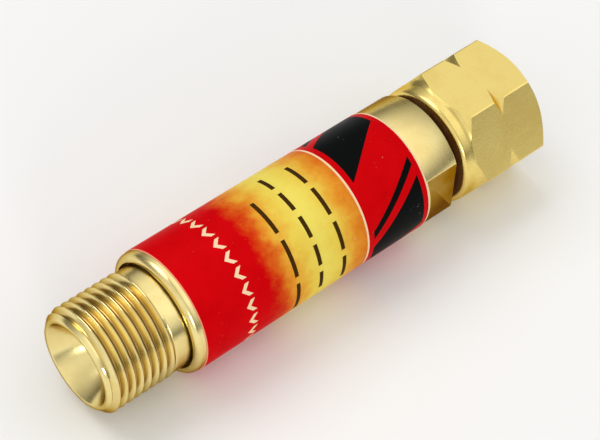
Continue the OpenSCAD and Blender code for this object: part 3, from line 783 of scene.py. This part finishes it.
bm = bmesh.new()
spin_outline(bm, [
    (BARREL_REAR, SOCKET_R), (BARREL_REAR, BARREL_R), (FLAT_END, BARREL_R), (BARREL_FRONT, BARREL_R),
    (BARREL_FRONT, BARREL_MOUTH_R), (MOUTH_STEP_X, BARREL_MOUTH_R), (MOUTH_STEP_X, CHAMBER_R),
    (CHAMBER_REAR, CHAMBER_R), (CHAMBER_REAR, SOCKET_R),
])
bevel_edges(bm, ring_edges(bm, BARREL_FRONT, BARREL_R), size=1.0, segments=8)
bevel_edges(bm, ring_edges(bm, BARREL_REAR, BARREL_R), size=0.2)
for half_turn in (0, math.pi):
    mill_wrench_flat(bm, FLAT_TURN + half_turn)
finish_piece(bm, "barrel_tube", barrel_brass, "body", ["barrel"])

# %% [markdown]
# The label is a film a tenth of a millimetre thick, wrapped round the barrel with its ends nearly meeting
# underneath. A strip could be bent round with a modifier. A partial spin makes the wrap in one step, and
# two faces close the ends of the film at the seam.

# %% Label film
FILM_IN, FILM_OUT = 9.66, 9.75
SEAM_GAP = 0.4
SEAM_ANGLE = math.radians(200)


def wrap(bm, outline, gap, gap_angle):
    """Spins a closed outline almost all the way round, leaving a gap that starts an angle off the top."""
    half = gap / 2 / max(radius for x, radius in outline)
    spin_outline(bm, outline, angle=math.tau - 2 * half)
    close_ends(bm)
    turn = Matrix.Rotation(gap_angle + half, 3, "X")
    bmesh.ops.rotate(bm, verts=bm.verts[:], cent=(0, 0, 0), matrix=turn)


bm = bmesh.new()
wrap(bm, [
    (label_low.x, FILM_IN), (label_low.x, FILM_OUT), (label_high.x, FILM_OUT), (label_high.x, FILM_IN),
], SEAM_GAP, SEAM_ANGLE)
film_rims = ring_edges(bm, label_low.x, FILM_OUT) + ring_edges(bm, label_high.x, FILM_OUT)
bevel_edges(bm, film_rims, size=0.04)
finish_piece(bm, "label_wrap", label_film, "body", ["label"])

# %% [markdown]
# The inlet stem shows in the gap behind the nut and inside the nut's mouth, with the copper washer under its
# shoulder. Both are turned from an outline. The ball nose, which seals in the regulator, could come from a
# sphere, but as an arc of a few points in the outline it joins the collar without a cut.

# %% Inlet stem
NOSE_TIP, NOSE_END, NOSE_R, NOSE_CENTRE, NOSE_POINTS = 8.725, 10.225, 8.0, 15.281, 6
COLLAR_END, STEM_COLLAR_R, SHANK_R, SPIGOT_R = 11.525, 7.0, 5.8, 5.0
SHOULDER_X, SPIGOT_END = 16.125, 22.225
POCKET_R, STEM_BORE_R = 3.9, 2.6

nose = []
for point in range(NOSE_POINTS):
    x = NOSE_TIP + (NOSE_END - NOSE_TIP) * point / (NOSE_POINTS - 1)
    nose.append((x, math.sqrt(NOSE_R ** 2 - (NOSE_CENTRE - x) ** 2)))
bm = bmesh.new()
spin_outline(bm, nose + [
    (NOSE_END, STEM_COLLAR_R), (COLLAR_END, STEM_COLLAR_R), (COLLAR_END, SHANK_R), (SHOULDER_X, SHANK_R),
    (SHOULDER_X, SPIGOT_R), (SPIGOT_END, SPIGOT_R), (SPIGOT_END, STEM_BORE_R), (NOSE_END, STEM_BORE_R),
    (NOSE_END, POCKET_R), (NOSE_TIP, POCKET_R),
])
for x in (NOSE_END, COLLAR_END):
    bevel_edges(bm, ring_edges(bm, x, STEM_COLLAR_R), size=0.2)
tip_r = nose[0][1]
bevel_edges(bm, ring_edges(bm, NOSE_TIP, tip_r), size=0.15)
finish_piece(bm, "stem_turned", stem_brass, "body", ["inlet_stem"])

# %% Copper washer
WASHER_GAP = 0.05
WASHER_R = SPIGOT_R + WASHER_GAP
bm = bmesh.new()
spin_outline(bm, [
    (SHOULDER_X, WASHER_R), (SHOULDER_X, SHANK_R), (BARREL_REAR, SHANK_R), (BARREL_REAR, WASHER_R),
])
washer_rims = ring_edges(bm, SHOULDER_X, SHANK_R) + ring_edges(bm, BARREL_REAR, SHANK_R)
bevel_edges(bm, washer_rims, size=0.2, segments=3)
finish_piece(bm, "washer_pressed", washer_copper, "body", ["stem_washer"])

# %% [markdown]
# Behind the nose sits a disc of woven wire that keeps dirt out of the valve, held by a split ring.
# A weave could be faked with a bump, but seen through the nut's mouth its wires catch light one by one.
# So each wire is a thin tube, cut into short lengths and waved over and under its neighbours.

# %% Inlet gauze
gauze_low, gauze_high = (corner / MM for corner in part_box("inlet_filter"))
GAUZE_GAP, GAUZE_MARGIN = 0.02, 0.2
GAUZE_X = (gauze_low.x + gauze_high.x) / 2
GAUZE_R = gauze_high.z - GAUZE_GAP
WIRE_R, WIRE_PITCH, WIRE_WAVE = 0.11, 0.55, 0.12
WIRE_SIDES, CUTS_PER_PITCH, LEAST_CUTS = 6, 8, 3


def gauze_wire(offset, row, upright):
    """One wire of the gauze: a tube across the disc that passes over and under the crossing wires."""
    reach = math.sqrt(GAUZE_R ** 2 - offset ** 2) - GAUZE_GAP
    wire = bmesh.new()
    bmesh.ops.create_cone(wire, cap_ends=True, segments=WIRE_SIDES, radius1=WIRE_R * MM,
                          radius2=WIRE_R * MM, depth=2 * reach * MM)
    long_edges = [e for e in wire.edges if abs(e.verts[0].co.z - e.verts[1].co.z) > reach * MM]
    cuts = max(LEAST_CUTS, round(CUTS_PER_PITCH * reach / WIRE_PITCH))
    bmesh.ops.subdivide_edges(wire, edges=long_edges, cuts=cuts)
    way = 1 if upright else -1
    for vert in wire.verts:
        wave = way * math.cos(math.pi * (vert.co.z / MM / WIRE_PITCH + row))
        depth = vert.co.x + (GAUZE_X + wave * WIRE_WAVE) * MM
        across = vert.co.y + offset * MM
        vert.co = (depth, across, vert.co.z) if upright else (depth, vert.co.z, across)
    mesh = bpy.data.meshes.new("wire")
    wire.to_mesh(mesh)
    wire.free()
    return mesh


bm = bmesh.new()
rows = int((GAUZE_R - GAUZE_MARGIN) / WIRE_PITCH)
for row in range(-rows, rows + 1):
    for upright in (True, False):
        wire_mesh = gauze_wire(row * WIRE_PITCH, row, upright)
        bm.from_mesh(wire_mesh)
        bpy.data.meshes.remove(wire_mesh)
finish_piece(bm, "gauze_woven", gauze, "body", ["inlet_filter"])

# %% Split ring
ring_low, ring_high = (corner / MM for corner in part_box("filter_ring"))
RING_WALL, RING_SPLIT = 0.75, 0.8
RING_OUT = -ring_low.z
RING_IN = RING_OUT - RING_WALL
bm = bmesh.new()
wrap(bm, [
    (ring_low.x, RING_IN), (ring_low.x, RING_OUT), (ring_high.x, RING_OUT), (ring_high.x, RING_IN),
], RING_SPLIT, 0.0)
bevel_edges(bm, sharp_edges(bm), size=0.08)
finish_piece(bm, "ring_split", spring_steel, "body", ["filter_ring"])

# %% [markdown]
# Two compression springs work inside: one shuts the valve, and one is held back by the solder until a fire
# melts it. A curve with a round bevel would give the same wire. Spinning a small ring of points, one turn at
# a time, lets each turn have its own lead, so the end turns lie closed as on a real spring. The valve's
# spring is pressed together when the poppet opens; how far is worked out below as a share of its length.

# %% Wound springs
SPRING_WIRE_SIDES, COIL_STEPS = 12, 48
CLOSED_PITCH = 1.06
END_TURNS = 2
VALVE_WIRE_R, VALVE_TURNS = 0.25, 4
CUTOFF_WIRE_R, CUTOFF_TURNS = 0.3, 3


def wind_spring(name, wire_r, turns, node):
    """A right-hand coil with closed end turns, wound inside the box of the node that it stands for."""
    low, high = (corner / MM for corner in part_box(node))
    coil_r = high.y - wire_r
    closed_lead = 2 * wire_r * CLOSED_PITCH
    open_lead = (high.x - low.x - 2 * wire_r - END_TURNS * closed_lead) / (turns - END_TURNS)
    leads = [closed_lead] + [open_lead] * (turns - END_TURNS) + [closed_lead]
    angles = [math.tau * side / SPRING_WIRE_SIDES for side in range(SPRING_WIRE_SIDES)]
    bm = bmesh.new()
    x = low.x + wire_r
    for lead in leads:
        outline = [(x + wire_r * math.sin(a), coil_r + wire_r * math.cos(a)) for a in angles]
        spin_outline(bm, outline, steps=COIL_STEPS, lead=lead)
        x += lead
    close_ends(bm)
    quarter_back = Matrix.Rotation(-math.pi / 2, 3, "X")
    bmesh.ops.rotate(bm, verts=bm.verts[:], cent=(0, 0, 0), matrix=quarter_back)
    return finish_piece(bm, name, spring_steel, "body", [node])


valve_coil = wind_spring("spring_valve", VALVE_WIRE_R, VALVE_TURNS, "valve_spring")
wind_spring("spring_cutoff", CUTOFF_WIRE_R, CUTOFF_TURNS, "cutoff_spring")

# %% How far the poppet presses the valve spring
SPRING_END_GAP = 0.05
poppet_joint = next(joint for joint in frame["joints"] if joint["name"] == "poppet_slide")
coil_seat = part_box("spring_cap")[0].x
coil_length = coil_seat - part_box("valve_spring")[0].x + SPRING_END_GAP * MM
coil_share = 1 - poppet_joint["range_m"][1] / coil_length
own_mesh(valve_coil)
print("valve spring pressed to", round(coil_share, 3), "of its length")

# %% [markdown]
# The other inner pieces are turned parts and rings whose packed shapes are right already. They could be spun
# again from outlines, but nothing would be gained, so they only take their finishes.

# %% Finishes on the inner pieces
INNER_FINISHES = {
    inner_brass: ["valve_housing", "valve_poppet", "spring_cap", "spacer_ring", "cutoff_guide",
                  "cutoff_plunger", "clamp_sleeve"],
    seal_rubber: ["connector_o_ring", "housing_o_ring", "poppet_o_ring", "cutoff_seal"],
    solder: ["fusible_ring"],
    sintered_steel: ["flame_element"],
    gasket_fibre: ["element_gasket"],
}
for finish, names in INNER_FINISHES.items():
    for name in names:
        nodes[name].data.materials.clear()
        nodes[name].data.materials.append(finish)
print("inner pieces dressed:", sum(len(names) for names in INNER_FINISHES.values()))

# %% [markdown]
# The set is plain: a pale floor, a soft sky and three lamps with wide faces. Polished metal shows what
# stands round it, so the sky isn't one even grey. It dims towards the horizon, straight overhead and past the
# nut, and brightens on the camera's side and at the outlet's end, which gives the brass its light and dark
# bands.

# %% Pale floor
FLOOR_Z = cad_box[0].z
FLOOR_HALF = 1.5
FLOOR_CLOUD = 0.004
FLOOR_LIGHT, FLOOR_DIM = paint(246, 246, 245), paint(243, 243, 243)
floor_finish, floor_place = new_finish("floor")
floor_cloud = noise_at(floor_place, FLOOR_CLOUD, 3.0)
close_finish(floor_place, {
    "Base Color": floor_cloud.colour(FLOOR_LIGHT, FLOOR_DIM),
    "Roughness": 0.9,
    "Specular IOR Level": 0.0,
})
bm = bmesh.new()
bmesh.ops.create_grid(bm, x_segments=2, y_segments=2, size=FLOOR_HALF,
                      matrix=Matrix.Translation((CAMERA_TARGET.x, 0.0, FLOOR_Z)))
floor_mesh = bpy.data.meshes.new("floor")
bm.to_mesh(floor_mesh)
bm.free()
floor_mesh.materials.append(floor_finish)
floor = bpy.data.objects.new("floor", floor_mesh)
bpy.context.scene.collection.objects.link(floor)
print("floor at", round(FLOOR_Z / MM, 2), "mm")

# %% Soft sky
SKY_DARK, SKY_WHITE = (0.0, 0.0, 0.0, 1.0), (1.0, 0.99, 0.97, 1.0)
sky = bpy.data.worlds.new("sky")
sky.use_nodes = True
sky.node_tree.nodes.clear()
towards = Wire(sky.node_tree, sky.node_tree.nodes.new("ShaderNodeTexCoord").outputs["Generated"])
towards_x, towards_y, height = axes_of(towards)
overhead = towards_x.fade(-0.35, -0.05, 1.0, 0.35) + towards_x.fade(0.15, 0.45, 0.0, 0.35)
dome = height.fade(0.05, 0.8, 0.1, 1.14) * overhead * towards_x.fade(-0.9, -0.6, 0.35, 1.0)
front = height.fade(0.08, 0.36, 0.0, 0.25) * towards_y.fade(0.0, 0.5)
outlet_end = towards_x.fade(0.7, 0.95, 0.0, 0.7)
sky_level = dome + front + outlet_end
background = towards.node("ShaderNodeBackground", None, {
    "Color": sky_level.colour(SKY_DARK, SKY_WHITE),
    "Strength": 1.0,
})
towards.node("ShaderNodeOutputWorld", None, {"Surface": background})
bpy.context.scene.world = sky
print("sky made with", len(sky.node_tree.nodes), "nodes")

# %% Wide lamps
LAMP_DISTANCE = 0.5
LAMPS = (
    # name, where its light comes from, width in degrees, strength
    ("key", (0.14, -0.52, 0.84), 40.0, 0.95),
    ("top", (-0.46, 0.25, 0.85), 60.0, 0.16),
    ("side", (0.48, 0.83, 0.28), 14.0, 0.6),
)


def soft_sun(name, source, width, strength):
    """A far lamp with a wide face, so that the floor is lit evenly and the shadow is soft."""
    data = bpy.data.lights.new(name, "SUN")
    data.angle = math.radians(width)
    data.energy = strength
    lamp = bpy.data.objects.new(name, data)
    back = Vector(source).normalized()
    lamp.rotation_mode = "QUATERNION"
    lamp.rotation_quaternion = back.to_track_quat("Z", "Y")
    lamp.location = CAMERA_TARGET + back * LAMP_DISTANCE
    bpy.context.scene.collection.objects.link(lamp)


for lamp_settings in LAMPS:
    soft_sun(*lamp_settings)
print("lamps:", [lamp_settings[0] for lamp_settings in LAMPS])

# %% [markdown]
